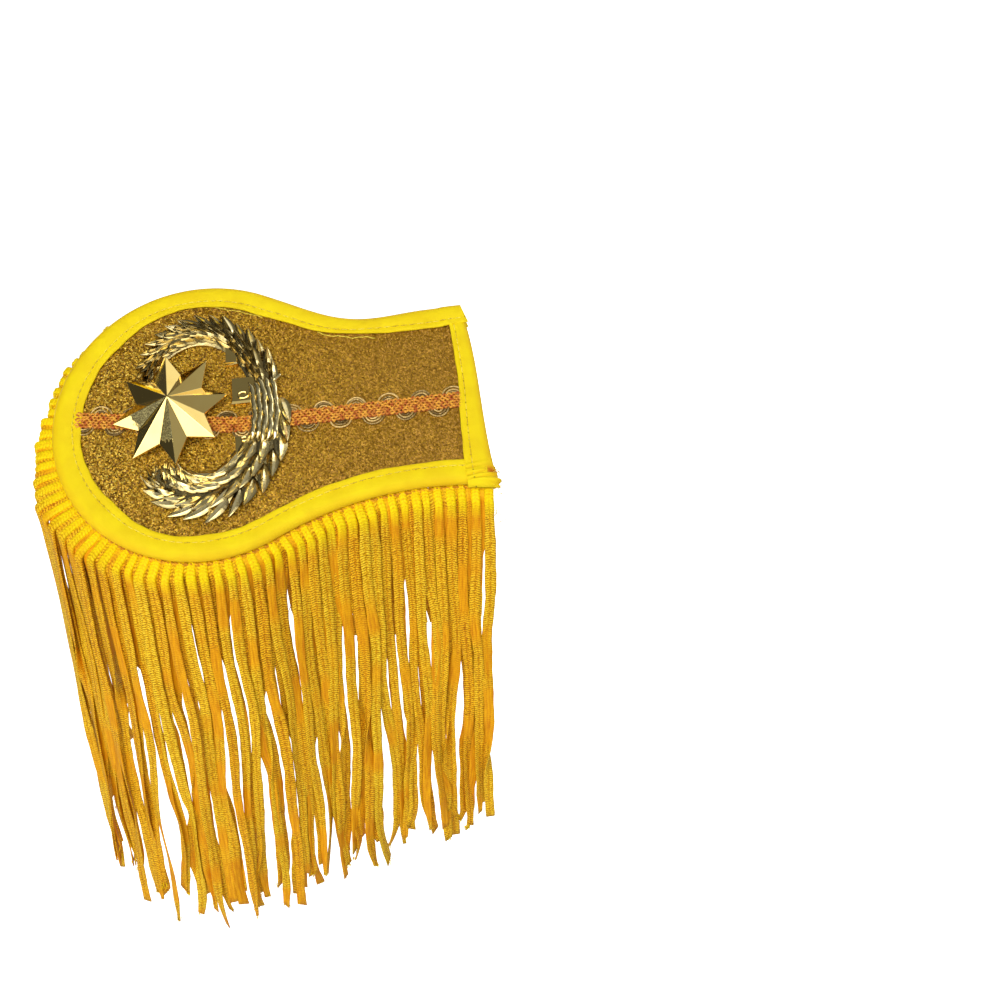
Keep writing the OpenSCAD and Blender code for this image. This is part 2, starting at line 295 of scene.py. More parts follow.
class Nodes:
    """A node tree with short ways to add nodes. A value may be a socket, a number or a colour."""

    def __init__(self, tree):
        self.tree = tree

    def join(self, value, socket):
        if isinstance(value, bpy.types.NodeSocket):
            self.tree.links.new(value, socket)
        elif socket.type == "RGBA":
            socket.default_value = linear(value)
        else:
            socket.default_value = value

    def node(self, kind, inputs=(), **settings):
        made = self.tree.nodes.new("ShaderNode" + kind)
        for key, value in settings.items():
            setattr(made, key, value)
        for key, value in dict(inputs).items():
            self.join(value, made.inputs[key])
        return made

    def math(self, operation, *values):
        return self.node("Math", enumerate(values), operation=operation).outputs[0]

    def plus(self, a, b):
        return self.math("ADD", a, b)

    def minus(self, a, b):
        return self.math("SUBTRACT", a, b)

    def times(self, a, b):
        return self.math("MULTIPLY", a, b)

    def over(self, a, b):
        return self.math("DIVIDE", a, b)

    def vector(self, operation, a, b=(0, 0, 0), scale=None):
        made = self.node("VectorMath", {0: a, 1: b}, operation=operation)
        if scale is not None:
            self.join(scale, made.inputs["Scale"])
        return made.outputs[0]

    def mix(self, share, a, b):
        return self.node("Mix", {0: share, 6: a, 7: b}, data_type="RGBA").outputs[2]

    def ramp(self, value, stops):
        made = self.node("ValToRGB", {0: value})
        steps = made.color_ramp.elements
        while len(steps) < len(stops):
            steps.new(0.5)
        for step, (at, colour) in zip(steps, stops):
            step.position = at
            step.color = linear(colour)
        return made.outputs[0]

    def span(self, value, low, high, to_low=0.0, to_high=1.0):
        return self.node("MapRange", enumerate((value, low, high, to_low, to_high))).outputs[0]

    def spot(self):
        """Place on the object, in millimetres."""
        at = self.node("TexCoord").outputs["Object"]
        return self.vector("SCALE", at, scale=1 / MM)

    def uv(self):
        """Places across and along the piece's skin."""
        skin = self.node("UVMap", uv_map="UVMap").outputs[0]
        return self.node("SeparateXYZ", {0: skin}).outputs[:2]

    def point(self, *values):
        return self.node("CombineXYZ", enumerate(values)).outputs[0]

    def value(self, label):
        return self.node("Attribute", attribute_name=label).outputs["Fac"]

    def noise(self, scale, detail=2.0, at=None, roughness=0.5):
        at = self.spot() if at is None else at
        inputs = {"Vector": at, "Scale": scale, "Detail": detail, "Roughness": roughness}
        return self.node("TexNoise", inputs).outputs["Fac"]

    def cells(self, scale):
        """Small cells, each in a random colour of its own."""
        return self.node("TexVoronoi", {"Vector": self.spot(), "Scale": scale}).outputs["Color"]


class Finish(Nodes):
    """A material with its one shader."""

    def __init__(self, name, **settings):
        self.material = bpy.data.materials.new(name)
        self.material.use_nodes = True
        super().__init__(self.material.node_tree)
        self.shader = self.tree.nodes["Principled BSDF"]
        for label, value in settings.items():
            self.set(label.replace("_", " "), value)

    def set(self, label, value):
        self.join(value, self.shader.inputs[label])

    def bump(self, height, distance, strength=0.8):
        inputs = {"Height": height, "Distance": distance * MM, "Strength": strength}
        self.set("Normal", self.node("Bump", inputs).outputs[0])


FLAKE = 0.46
FLAKE_TILT = 0.75


def glitter_cloth():
    """Cloth covered in tiny tilted flakes, brown to pale gold; the palest are painted glints, and the
    painted sparkle grows towards the head.
    """
    f = Finish("glitter_cloth", Metallic=0.5, Roughness=0.38)
    flakes = f.cells(1 / FLAKE)
    fine = f.cells(2.1 / FLAKE)
    shade = f.node("SeparateColor", {0: flakes}).outputs[0]
    fine_shade = f.node("SeparateColor", {0: fine}).outputs[1]
    both = f.plus(f.times(shade, 0.55), f.times(fine_shade, 0.45))
    x = f.node("SeparateXYZ", {0: f.spot()}).outputs[0]
    # Painted sparkle: the flakes' colour contrast grows towards the head, and the palest colours of the
    # ramp below are painted glints.
    sparkle = f.span(x, -90, 10, 1.35, 0.75)
    both = f.plus(f.times(f.minus(both, 0.5), sparkle), 0.46)
    colour = f.ramp(both, [(0.05, (50, 32, 0)), (0.35, (150, 104, 6)),
                           (0.58, (196, 144, 14)), (0.78, (234, 186, 40)),
                           (0.95, (255, 232, 112))])
    strap = f.span(x, -60, 10, 0.0, 0.5)
    colour = f.mix(strap, colour, (150, 108, 28))
    patch = f.noise(0.05, 3)
    f.set("Base Color", f.mix(f.span(patch, 0.35, 0.7, 0.0, 0.3), colour, (160, 114, 14)))
    normal = f.node("NewGeometry").outputs["Normal"]
    for cells, lean in ((flakes, FLAKE_TILT), (fine, FLAKE_TILT * 0.8)):
        off = f.vector("SUBTRACT", cells, (0.5, 0.5, 0.5))
        normal = f.vector("ADD", normal, f.vector("SCALE", off, scale=lean))
    f.set("Normal", f.vector("NORMALIZE", normal))
    return f.material


TWILL = 0.55
STITCH_LEN = 2.9
STITCH_IN = 6.1


def tape_cloth():
    """Bright yellow bias tape: fine twill, a line of needle holes, and painted shade along its outer
    edge and in the end tape's hollow and creases.
    """
    f = Finish("tape_cloth", Roughness=0.7, Sheen_Weight=0.08, Sheen_Roughness=0.4)
    f.shader.inputs["Sheen Tint"].default_value = (1.0, 0.85, 0.2, 1)
    f.shader.inputs["Specular IOR Level"].default_value = 0.25
    across, along = f.uv()
    lines = f.plus(across, along)
    twill = f.math("SINE", f.times(lines, 2 * math.pi / TWILL))
    fibre = f.noise(4.0, 3)
    cloud = f.noise(0.12, 3)
    colour = f.mix(f.span(cloud, 0.35, 0.7), (236, 204, 0), (244, 218, 2))
    colour = f.mix(f.span(fibre, 0.55, 0.8, 0.0, 0.3), colour, (252, 230, 60))
    # Painted shade: darker orange along the outer edge, where the tape rolls over and under.
    colour = f.mix(f.span(across, 0.0, 2.4, 0.4, 0.0), colour, (224, 158, 0))
    hole_along = f.minus(f.math("FRACT", f.over(along, STITCH_LEN)), 0.5)
    hole_along = f.times(hole_along, STITCH_LEN)
    hole_across = f.minus(across, STITCH_IN)
    apart = f.math("POWER", hole_across, 2)
    apart = f.math("SQRT", f.plus(f.math("POWER", hole_along, 2), apart))
    hole = f.span(apart, 0.16, 0.34, 1.0, 0.0)
    colour = f.mix(f.times(hole, 0.75), colour, (120, 84, 4))
    # Painted shade, carried by the tone: the end tape's hollow and the troughs of its creases.
    f.set("Base Color", f.mix(f.value("tone"), colour, (190, 100, 6)))
    height = f.plus(f.times(twill, 0.5), f.times(fibre, 1.2))
    height = f.minus(height, f.times(hole, 2.0))
    f.bump(height, 0.05, 0.7)
    return f.material


def thread(name, dark, light, roughness=0.5, metallic=0.0, scale=1.6):
    """Fine thread, twisted, between a dark and a light colour."""
    f = Finish(name, Roughness=roughness, Metallic=metallic)
    speck = f.noise(scale, 3)
    tone = f.times(f.minus(f.value("tone"), 0.5), 0.5)
    f.set("Base Color", f.ramp(f.plus(speck, tone), [(0.3, dark), (0.7, light)]))
    f.bump(f.noise(6.0, 2), 0.06)
    return f.material


KNIT_PITCH = 1.05
KNIT_SLANT = 0.62
SATIN_RUN = 34.0


def fringe_cord():
    """Flat cord, bright at the bend, partly its own paler colour and partly painted light where the
    bend faces up: a knitted face of slanted stitches, or its plain satin back.
    """
    f = Finish("fringe_cord", Roughness=0.6)
    f.shader.inputs["Specular IOR Level"].default_value = 0.12
    across, along = f.uv()
    off = f.math("ABSOLUTE", across)
    tone = f.value("tone")
    speck = f.noise(1.6, 3, roughness=0.8)
    uneven = f.times(f.minus(speck, 0.5), 1.1)
    turn = f.minus(f.over(along, KNIT_PITCH), f.times(off, KNIT_SLANT))
    wave = f.math("SINE", f.times(f.plus(turn, uneven), 2 * math.pi))
    stitch = f.times(f.span(wave, -0.9, 0.9), f.span(off, 0.0, 0.3, 0.3, 1.0))
    grain = f.span(speck, 0.34, 0.66)
    both = f.plus(f.times(stitch, 0.45), f.times(grain, 0.55))
    amber = f.ramp(both, [(0.12, (140, 78, 0)), (0.42, (214, 138, 0)), (0.76, (255, 208, 36))])
    gold = f.ramp(both, [(0.12, (152, 98, 0)), (0.42, (226, 164, 4)), (0.76, (255, 226, 56))])
    # Colour of the bend at the top: partly the cord's own paler yellow, partly painted light where it
    # faces up.
    top = f.ramp(both, [(0.05, (228, 170, 0)), (0.34, (246, 210, 0)), (0.8, (253, 226, 16))])
    fibres = f.point(f.times(across, 3.0), f.over(along, 9.0), f.times(tone, 31.0))
    satin = f.ramp(f.noise(1.0, 2, at=fibres), [(0.3, (206, 122, 0)), (0.7, (240, 172, 10))])
    run = f.point(f.over(along, SATIN_RUN), f.times(tone, 47.0))
    back = f.span(f.noise(1.0, 1, at=run), 0.52, 0.6)
    # Tone differs at random from cord to cord; on the back layer it is lowered as painted shade.
    knit = f.mix(tone, amber, gold)
    colour = f.mix(f.times(back, 0.85), knit, satin)
    f.set("Base Color", f.mix(f.span(f.value("drop"), 0.035, 0.075), top, colour))
    height = f.times(both, f.minus(1.0, f.times(back, 0.8)))
    f.bump(height, 0.2)
    return f.material


def cast_metal(name, high, low, roughness, grain, relief=0.0, patina_and_shade=None):
    """Plated cast metal: pale gold, with a faint grain and, where asked, darker recesses that are
    partly patina and partly painted shade.
    """
    f = Finish(name, Metallic=1.0)
    colour = f.mix(f.span(f.noise(grain, 4), 0.4, 0.75), high, low)
    if patina_and_shade:
        # Where the tone is low: partly patina, partly painted shade between and under the leaves.
        colour = f.mix(f.span(f.value("tone"), 0.0, 0.55, 1.0, 0.0), colour, patina_and_shade)
    f.set("Base Color", colour)
    f.set("Roughness", f.span(f.noise(grain * 3, 3), 0.3, 0.8, roughness * 0.7, roughness * 1.5))
    if relief:
        f.bump(f.noise(grain * 2, 3), relief, 0.6)
    return f.material


GLITTER = glitter_cloth()
TAPE = tape_cloth()
CORD = fringe_cord()
STITCH = thread("stitch_thread", (208, 170, 6), (250, 228, 74))
HEADING = thread("heading_thread", (190, 122, 0), (242, 184, 0), 0.8, 0.0, 1.1)
KNIT = thread("braid_thread", (176, 80, 6), (240, 174, 52), 0.5, 0.1, 1.5)
KNIT_BASE = thread("braid_ground", (126, 52, 6), (190, 102, 16), 0.6, 0.1, 1.3)
PICOT = thread("picot_thread", (104, 80, 34), (236, 200, 124), 0.4, 0.4, 1.8)
# The last colour is for the recesses: partly patina, partly painted shade.
LEAF_METAL = cast_metal("leaf_metal", (244, 228, 172), (224, 202, 132), 0.2, 0.5, 0.04,
                        (128, 106, 48))
STAR_METAL = cast_metal("star_metal", (249, 220, 134), (245, 212, 124), 0.07, 0.12)
PIN_METAL = cast_metal("pin_metal", (190, 188, 180), (150, 148, 142), 0.35, 0.8, 0.03)


def pin_bar():
    """The pin bar stays as modelled and only gets its finish."""
    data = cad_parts["pin_bar"].data
    data.materials.clear()
    data.materials.append(PIN_METAL)


BOARD_IN = TAPE_T + PLAY


def board_cloth():
    """The board's cloth, from the head's tip to the strap end."""
    pile = Pile()
    r = HEAD_R - BOARD_IN
    a = np.linspace(math.pi - 0.03, MEET, 48)
    strap = np.linspace(HEAD_X + r * math.cos(MEET), END_X - BOARD_IN, 40)[1:]
    x = np.append(HEAD_X + r * np.cos(a), strap)
    half = np.append(r * np.sin(a), half_width(strap, BOARD_IN))
    v = np.linspace(-1, 1, 15)
    across = np.concatenate([v, v[::-1]])
    height = np.concatenate([np.zeros(15), np.full(15, BOARD_T)])
    flat = np.stack([np.broadcast_to(x[:, None], (len(x), 30)), half[:, None] * across], -1)
    pile.grid(on_board(flat, height))
    pile.make("board_cloth", GLITTER, "glitter_cloth", ("board",), smooth=False)


pin_bar()
board_cloth()


# Binding tape
TAPE_STEP = 0.7
# Outline of the folded tape, as inset from the rim and height, out over the edge and back inside
FOLD = [(8.4, 2.45), (8.38, 2.85), (8.1, 3.05), (7.2, 3.1), (6.5, 3.04), (6.1, 2.98), (5.6, 3.06),
        (4.4, 3.3), (3.0, 3.36), (1.7, 3.16), (0.8, 2.7), (0.2, 1.95), (0.0, 1.0), (0.2, 0.05),
        (0.9, -0.75), (2.0, -1.15), (4.5, -1.2), (8.0, -1.2), (8.35, -1.0), (8.35, -0.5),
        (4.5, -0.35), (1.5, -0.3), (1.1, 0.2), (1.1, 1.8), (1.5, 2.25), (4.5, 2.35)]
FOLD_ACROSS = np.array([inset for inset, _ in FOLD] + [FOLD[0][0]])


def fold_rows(along, seed):
    """The tape's outline at each place along it, puckered a little, as inset and height."""
    fold = np.array(FOLD)
    inset = np.broadcast_to(fold[:, 0], (len(along), len(fold))).copy()
    height = np.broadcast_to(fold[:, 1], inset.shape).copy()
    inner = np.clip((inset - 5.5) / 2.9, 0, 1)
    top = height > 1.5
    wander = waves(along, seed, (47, 21, 9), (0.16, 0.12, 0.06))[:, None]
    inset += inner * wander * np.where(top, 1, 0.4)
    pucker = 0.05 * np.cos(2 * math.pi * along / STITCH_LEN)[:, None]
    swell = waves(along, seed + 1, (33, 14, 6.5), (0.1, 0.08, 0.04))[:, None]
    crown = np.sin(np.clip((7.2 - inset) / 6.4, 0, 1) * math.pi)
    height += np.where(top, pucker * np.exp(-((inset - STITCH_IN) / 1.2) ** 2) + swell * crown, 0)
    return inset, height


HEAD_WIDER = 0.22
LAP_Z = 0.42
LAP_LEN = 12.0
LAP_RAMP = 4.0


def widening(out):
    """The tape covers more of the cloth round the head's tip."""
    return 1 + HEAD_WIDER * ease((-out[..., 0] - 0.3) / 0.5)


def lap(u):
    """How far the edge tape has come up, as a share, where it ends over the end tape."""
    return np.clip((u - RIM_LEN + LAP_LEN) / LAP_RAMP, 0, 1)


def edge_tape():
    """The tape round the rim. It starts under the end tape and ends over it."""
    pile = Pile()
    u = np.arange(3.0, RIM_LEN - 0.3, TAPE_STEP)
    inset, height = fold_rows(u, 3)
    points, out = rim(u)
    height = height + (LAP_Z * ease(lap(u)))[:, None]
    inset = inset * widening(out)[:, None]
    rows = on_board(points[:, None] - out[:, None] * inset[..., None], height)
    pile.grid(rows, across=FOLD_ACROSS, along=u, tone=0.0)
    tape = pile.make("edge_binding_tape", TAPE, "binding_tape", ("edge_binding",))


END_TAPE_W = 7.2
LUMP = 1.3


def end_widening(y):
    """The end tape's width at a place across the strap, as a share of the edge tape's."""
    return np.interp(y, [-END_HALF, -15, 0], [9.2, 8.2, END_TAPE_W]) / TAPE_W


def end_tape():
    """The tape over the strap end: wide, creased and hollow where it is bunched at the near corner."""
    pile = Pile()
    v = np.arange(-END_HALF - 1.4, END_HALF - 0.5, TAPE_STEP / 3)
    inset, height = fold_rows(v, 11)
    inset = inset * end_widening(v)[:, None]
    top = height > 1.5
    height = height - 0.2 * np.exp(-((inset - 3.0) / 0.6) ** 2) * top
    from_near = v + END_HALF
    near = np.exp(-((from_near - 1.5) / 3.2) ** 2)[:, None]
    crumple = 0.55 + waves(v, 12, (3.1, 1.9), (0.35, 0.2))[:, None]
    x = END_X - inset + LUMP * near * crumple * np.clip(1 - inset / 4, 0, 1)
    share = np.clip(v / END_HALF, -1.04, 1)[:, None]
    y = share * half_width(np.minimum(x, END_X))
    edge = np.clip(1 - np.minimum(v - v[0], v[-1] - v) / 1.6, 0, 0.97)[:, None]
    middle = (TAPE_LOW + TAPE_HIGH) / 2
    bunch = np.exp(-((from_near - 3.4) / 3.4) ** 2)[:, None]
    crease = waves(v[:, None] + 0.22 * inset, 13, (2.3, 1.5), (0.3, 0.22))
    hollow = np.exp(-((from_near[:, None] - 4.6) / 1.3) ** 2 - ((inset - 1.3) / 1.3) ** 2)
    height = height + (near * crumple * 0.6 + bunch * crease - 1.3 * hollow) * top
    height = middle + (height - middle) * np.sqrt(1 - edge ** 2) + (0.18 - 0.26 * share) * (1 - edge)
    rows = on_board(np.stack([x, y], -1), height)
    # Painted shade in the hollow and in the troughs of the creases, passed on as the tone.
    crease_shade = np.clip(hollow * 1.1 + 0.22 * bunch * np.clip(-crease * 2.4, 0, 1), 0, 1) * top
    pile.grid(rows, across=FOLD_ACROSS, along=from_near, tone=crease_shade)
    tape = pile.make("end_binding_tape", TAPE, "binding_tape", ("end_binding",))


STITCH_R = 0.17
STITCH_SHARE = 0.8


def stitches():
    """Pale thread dashes along the tape's inner third, round the rim and along the strap end."""
    pile = Pile()
    draw = random.Random(5)
    share = np.linspace(-0.5, 0.5, 6)
    lift = 0.16 * (1 - (2 * share) ** 2) ** 0.5 - 0.06
    for u in np.arange(3 * STITCH_LEN, RIM_LEN - STITCH_LEN, STITCH_LEN):
        middle = u + STITCH_LEN * 0.5
        spots, out = rim(middle + share * STITCH_LEN * STITCH_SHARE)
        inset = STITCH_IN * widening(out)[:, None] + draw.uniform(-0.12, 0.12)
        path = on_board(spots - out * inset, 3.0 + LAP_Z * lap(middle) + lift)
        pile.tube(path, STITCH_R, 5, draw.random())
    for v in np.arange(3 - END_HALF, END_HALF - 10, STITCH_LEN):
        y = v + share * STITCH_LEN * STITCH_SHARE
        flat = np.stack([END_X - STITCH_IN * end_widening(y), y], -1)
        path = on_board(flat, 3.18 - 0.26 * y / END_HALF + lift)
        pile.tube(path, STITCH_R, 5, draw.random())
    pile.make("binding_stitches", STITCH, "binding_tape")


def frayed_corner():
    """Loose threads at the near corner of the strap end, and fuzz down the cord below it."""
    pile = Pile()
    draw = random.Random(8)
    t = np.linspace(0, 1, 11)[:, None]
    corner = np.array([END_X + 2.2, -END_HALF - 0.4, 0.8])
    for _ in range(54):
        low = draw.random() < 0.4
        down = draw.uniform(0, 16) if low else 0.0
        beside = draw.uniform(-3.5, 0.6)
        inward = 0 if low else draw.uniform(-0.6, 6.0)
        root = corner + [beside, inward, draw.uniform(-1.2, 1.4)]
        way = unit(scatter(draw, (0.1, 1.0), (-0.7, 0.6), (-0.6, 0.6)))
        curl = scatter(draw, (-1, 1), (-1, 1), (-1.4, 1.0))
        length = draw.uniform(1.0, 3.4)
        path = tilted(root + way * length * t + curl * length * 0.6 * t ** 2) + [0, 0, -down]
        section = ring(1, 4)[None] * (draw.uniform(0.09, 0.17) * (1 - 0.5 * t[:, :, None]))
        pile.grid(swept(path, section, (0.1, 0.2, 1)), tone=draw.random())
    pile.make("frayed_threads", STITCH, "binding_tape")


# Threads that lie on the cloth, from end to end by a middle place, and how much they wander
LAID = [((-15.1, 29.9), (-5.3, 26.3), (5.2, 24.6), 0.35),
        ((-52.0, 43.4), (-42.1, 40.4), (-34.3, 37.2), 0.15)]


def laid_threads():
    """Loose threads left on the cloth beside the far tape."""
    pile = Pile()
    t = np.linspace(0, 1, 25)[:, None]
    for n, (*places, wander) in enumerate(LAID):
        start, middle, end = np.array(places)
        pull = 2 * middle - (start + end) / 2
        flat = (1 - t) ** 2 * start + 2 * (1 - t) * t * pull + t ** 2 * end
        flat = flat + waves(t, 90 + n, (0.4, 0.17), (wander, wander / 2)) * [0, 1]
        pile.tube(on_board(flat, BOARD_T + 0.25), STITCH_R, 4, 0.9)
    pile.make("laid_threads", STITCH, "binding_tape")


edge_tape()
end_tape()
stitches()
frayed_corner()
laid_threads()


# Centre braid
BRAID_W = 5.6
BRAID_Z = BOARD_T + PLAY
PICOT_PITCH = 10.6
PICOT_R = 3.6
PICOT_LOOPS = (1.0, 0.72, 0.46)
PICOT_THREAD_R = 0.34
WREATH_PAST = 0.6
WREATH_A = 22.8
WREATH_B = 32.0
WREATH_X = HEAD_X - WREATH_PAST
BRAID_LINE = [(END_X - END_TAPE_W + 0.6, -3.4), (WREATH_X + WREATH_A / 2, -4.2),
              (END_X - BOARD_LEN + TAPE_W + GAP, 3.8)]
KNIT_STEP = 1.55
KNIT_R = 0.38
COLUMNS = 6


def knit_columns(pile, start, along, side, length):
    """Thick zigzag threads side by side, which cross over and under as they run."""
    s = np.arange(0, length, KNIT_STEP / 8)
    for column in range(COLUMNS):
        middle = (column - (COLUMNS - 1) / 2) * BRAID_W / COLUMNS
        turn = 2 * math.pi * (s / KNIT_STEP + 0.5 * (column % 2))
        uneven = waves(s, 50 + column, (7.3, 3.1, 1.9), (0.12, 0.1, 0.07))
        shift = middle + 0.5 * np.sin(turn) + uneven
        ahead = s + 0.3 * KNIT_STEP * np.sin(2 * turn)
        height = BRAID_Z + 0.62 + 0.18 * np.cos(2 * turn)
        path = on_board(start + along * ahead[:, None] + side * shift[:, None], height)
        pile.tube(path, KNIT_R, 5, 0.5 + waves(s, 30 + column, (5.1, 2.3), (0.25, 0.2)))


def picot_rows(pile, draw, start, along, side, length):
    """Scallops of three nested loops down both sides of the braid."""
    count = int(length // PICOT_PITCH)
    for way in (0, 1):
        outward = side * (2 * way - 1)
        for i in range(count):
            spot = start + along * length * (i + 0.25 + way / 2) / count
            for share in PICOT_LOOPS:
                turn = np.linspace(-0.12, math.pi + 0.12, 15)[:, None] + draw.uniform(-0.05, 0.05)
                reach = PICOT_R * share * (1 + draw.uniform(-0.06, 0.06))
                off = np.sin(turn) * reach * 0.95 + BRAID_W / 2 - 0.9
                height = BRAID_Z + 0.3 + 0.15 * np.sin(turn[:, 0] * 3 + i)
                path = on_board(spot + along * np.cos(turn) * reach + outward * off, height)
                pile.tube(path, PICOT_THREAD_R, 5, draw.random())


def braid():
    """The centre braid in two straight runs, from under the end tape to the head's tip."""
    knit = Pile()
    ground = Pile()
    picots = Pile()
    draw = random.Random(21)
    half = BRAID_W / 2
    band = np.array([(-half, 0), (-half, 0.35), (half, 0.35), (half, 0)])
    for start, end in zip(BRAID_LINE, BRAID_LINE[1:]):
        start, end = np.array(start), np.array(end)
        length = np.linalg.norm(end - start)
        along = (end - start) / length
        side = np.array([-along[1], along[0]])
        s = np.linspace(0, length, int(length / 2))
        ground.grid(swept(on_board(start + along * s[:, None], BRAID_Z), band, BOARD_UP))
        knit_columns(knit, start, along, side, length)
        picot_rows(picots, draw, start, along, side, length)
    knit.make("braid_knit", KNIT, "metal_thread", ("centre_braid",))
    ground.make("braid_ground", KNIT_BASE, "metal_thread")
    picots.make("braid_picots", PICOT, "metal_thread")


braid()


# Wreath
WREATH_W = 9.5
WREATH_T = 1.2
SEAT_Z = BOARD_T + GAP
TIE_ANGLE = math.radians(15)
LEAF_L = 9.6
LEAF_W = 4.1
LEAF_H = 1.1
# Rows of leaves: place across the arm as a share of its half width, splay, rise, shift, length,
# width and tone, a painted shade that darkens some rows, most of all the upper arm's inner rows
UPPER_ROWS = [(0.46, 27, 0.0, 0.0, 1.0, 0.85, 0.8), (-0.34, -10, 0.0, 0.1, 0.8, 0.75, 0.35),
              (0.16, 8, 0.5, 0.3, 0.95, 0.8, 0.45), (-0.08, -4, 0.5, 0.7, 0.9, 0.8, 0.35)]
LOWER_ROWS = [(0.46, 28, 0.0, 0.0, 1.2, 1.1, 1.0), (-0.7, -34, -0.1, 0.4, 1.05, 0.95, 1.0),
              (0.14, 16, 0.5, 0.5, 1.05, 1.0, 1.0), (-0.28, -20, 0.4, 0.8, 1.0, 0.95, 0.9)]
# The arms: side, reach across, width, end angle, leaves in a row, first leaf of the outer row,
# curl and rows
ARMS = [(1, WREATH_B, WREATH_W, math.radians(149), 15, 0, 22, UPPER_ROWS),
        (-1, 29.6, 12.6, math.radians(138), 11, -2, 34, LOWER_ROWS)]


def wreath_at(a, b=WREATH_B):
    return np.stack([WREATH_A * np.cos(a), b * np.sin(a)], -1)


def wreath_out(a, b=WREATH_B):
    return unit(np.stack([np.cos(a) / WREATH_A, np.sin(a) / b], -1))


def leaf_rows(length, half, lift, draw):
    """One cast leaf along X from its stalk: long and pointed, with a sharp midrib."""
    t = np.linspace(0, 1, 9)
    width = half * np.sin(np.pi * np.clip(t, 0, 1) ** 0.72) ** 0.9 + 0.04
    v = np.array([-1, -0.5, 0, 0.5, 1])
    ridge = np.array([0.0, 0.3, 1.0, 0.3, 0.0])
    crest = LEAF_H * (0.3 + 1.0 * np.sin(np.pi * t ** 0.8))
    x = np.repeat(t[:, None] * length, len(v) + 2, 1)
    bend = draw.uniform(-0.5, 0.5)
    y = width[:, None] * np.append(v, [0.7, -0.7]) + (bend * t ** 2)[:, None]
    base = lift * t ** 1.6
    roll = draw.uniform(-0.3, 0.3)
    top = crest[:, None] * ridge + base[:, None] + 0.1
    under = np.repeat((base - 0.75)[:, None], 2, 1)
    z = np.concatenate([top, under], 1) + roll * y
    # Tone for the recess colour, partly patina and partly painted shade: lighter on the midrib and
    # towards the tip, darker at the edges and by the stalk.
    bright = (0.15 + 0.85 * ridge) * (0.5 + 0.5 * t[:, None] ** 0.5)
    tone = np.concatenate([bright, np.zeros(under.shape)], 1)
    return np.stack([x, y, z], -1), tone


def wreath():
    """The wreath's two arms, each a low cast base with rows of leaves over it."""
    pile = Pile()
    draw = random.Random(14)
    profile = np.array([(-0.5, 0.0), (-0.5, 0.7), (-0.3, 1.0), (0.3, 1.0), (0.5, 0.7), (0.5, 0.0)])
    for side, b, width, end, count, first, curl, rows in ARMS:
        a = np.linspace(0, end, 50)
        taper = 1 - 0.4 * (a / end) ** 6
        spread = profile[:, 0] * 0.86 * (width * taper)[:, None]
        flat = wreath_at(a, b)[:, None] + wreath_out(a, b)[:, None] * spread[..., None] + [WREATH_X, 0]
        # The base shows between the leaves in the recess colour: partly patina, partly painted shade.
        pile.grid(on_board(flat * [1, side], SEAT_Z + profile[:, 1] * WREATH_T), tone=0.2)
        step = (end - TIE_ANGLE) / count
        for place, splay, rise, shift, long, wide, row_shade in rows:
            outer = place > 0.3
            for i in range(first if outer else 0, count):
                a = TIE_ANGLE + (i + shift) * step
                size = (1 - 0.4 * max((a + step) / end, 0) ** 6) * draw.uniform(0.94, 1.06)
                off = place + (0.42 * math.exp(-((i + 1) / 3.5) ** 2) if outer else 0)
                at = wreath_at(a, b) + wreath_out(a, b) * off * width / 2 * size
                along = math.atan2(b * math.cos(a), -WREATH_A * math.sin(a))
                tuck = 0.4 + 0.6 * min(max((i + shift) / 4, 0), 1)
                inward = curl * max((i + shift + 0.5) / count, 0) ** 5
                turn = along - math.radians(splay * tuck - inward + draw.uniform(-4, 4))
                half = LEAF_W / 2 * size * wide * draw.uniform(0.92, 1.08)
                leaf, tone = leaf_rows(LEAF_L * size * long, half, draw.uniform(0.7, 1.6), draw)
                c, s = math.cos(turn), math.sin(turn)
                x = at[0] + leaf[..., 0] * c - leaf[..., 1] * s + WREATH_X
                y = side * (at[1] + leaf[..., 0] * s + leaf[..., 1] * c)
                z = leaf[..., 2] + SEAT_Z + WREATH_T + rise * LEAF_H
                # The row's painted shade darkens its leaves.
                pile.grid(tilted(np.stack([x, y, z], -1)), tone=tone * row_shade)
    pile.make("wreath_leaves", LEAF_METAL, "badge_metal", ("wreath_badge",), smooth=False)


STEMS = 5


def wreath_tie():
    """The stems that lie side by side through the tie, and the stub that sticks out beside them."""
    pile = Pile()
    radius = WREATH_W / STEMS / 2
    draw = random.Random(4)
    for k in range(STEMS):
        reach = TIE_ANGLE * draw.uniform(1.35, 1.8)
        a = np.linspace(-reach, reach, 26)
        offset = (k - (STEMS - 1) / 2) * radius * 2
        flat = wreath_at(a) + wreath_out(a) * offset + [WREATH_X, 0]
        height = SEAT_Z + WREATH_T + 0.7 + 0.35 * math.cos((k - 2) * 0.9)
        swell = 1 + 0.1 * np.sin(a * 34 + k)[:, None, None]
        taper = np.clip((1.02 - np.abs(a / reach)) * 5, 0.25, 1)[:, None, None]
        flat = flat + wreath_out(a) * waves(a, 40 + k, (0.3, 0.13), (0.18, 0.1))[:, None]
        pile.grid(swept(on_board(flat, height), ring(radius * 1.22, 8)[None] * swell * taper, BOARD_UP))
    t = np.linspace(0, 1, 6)[:, None]
    stub = np.array([WREATH_X + WREATH_A + 3.2, 10.5]) + np.array([2.6, 2.0]) * t
    section = ring(0.95, 8)[None] * (1 - 0.55 * t[..., None])
    pile.grid(swept(on_board(stub, SEAT_Z + WREATH_T + 1.0), section, BOARD_UP))
    pile.make("wreath_stems", LEAF_METAL, "badge_metal")


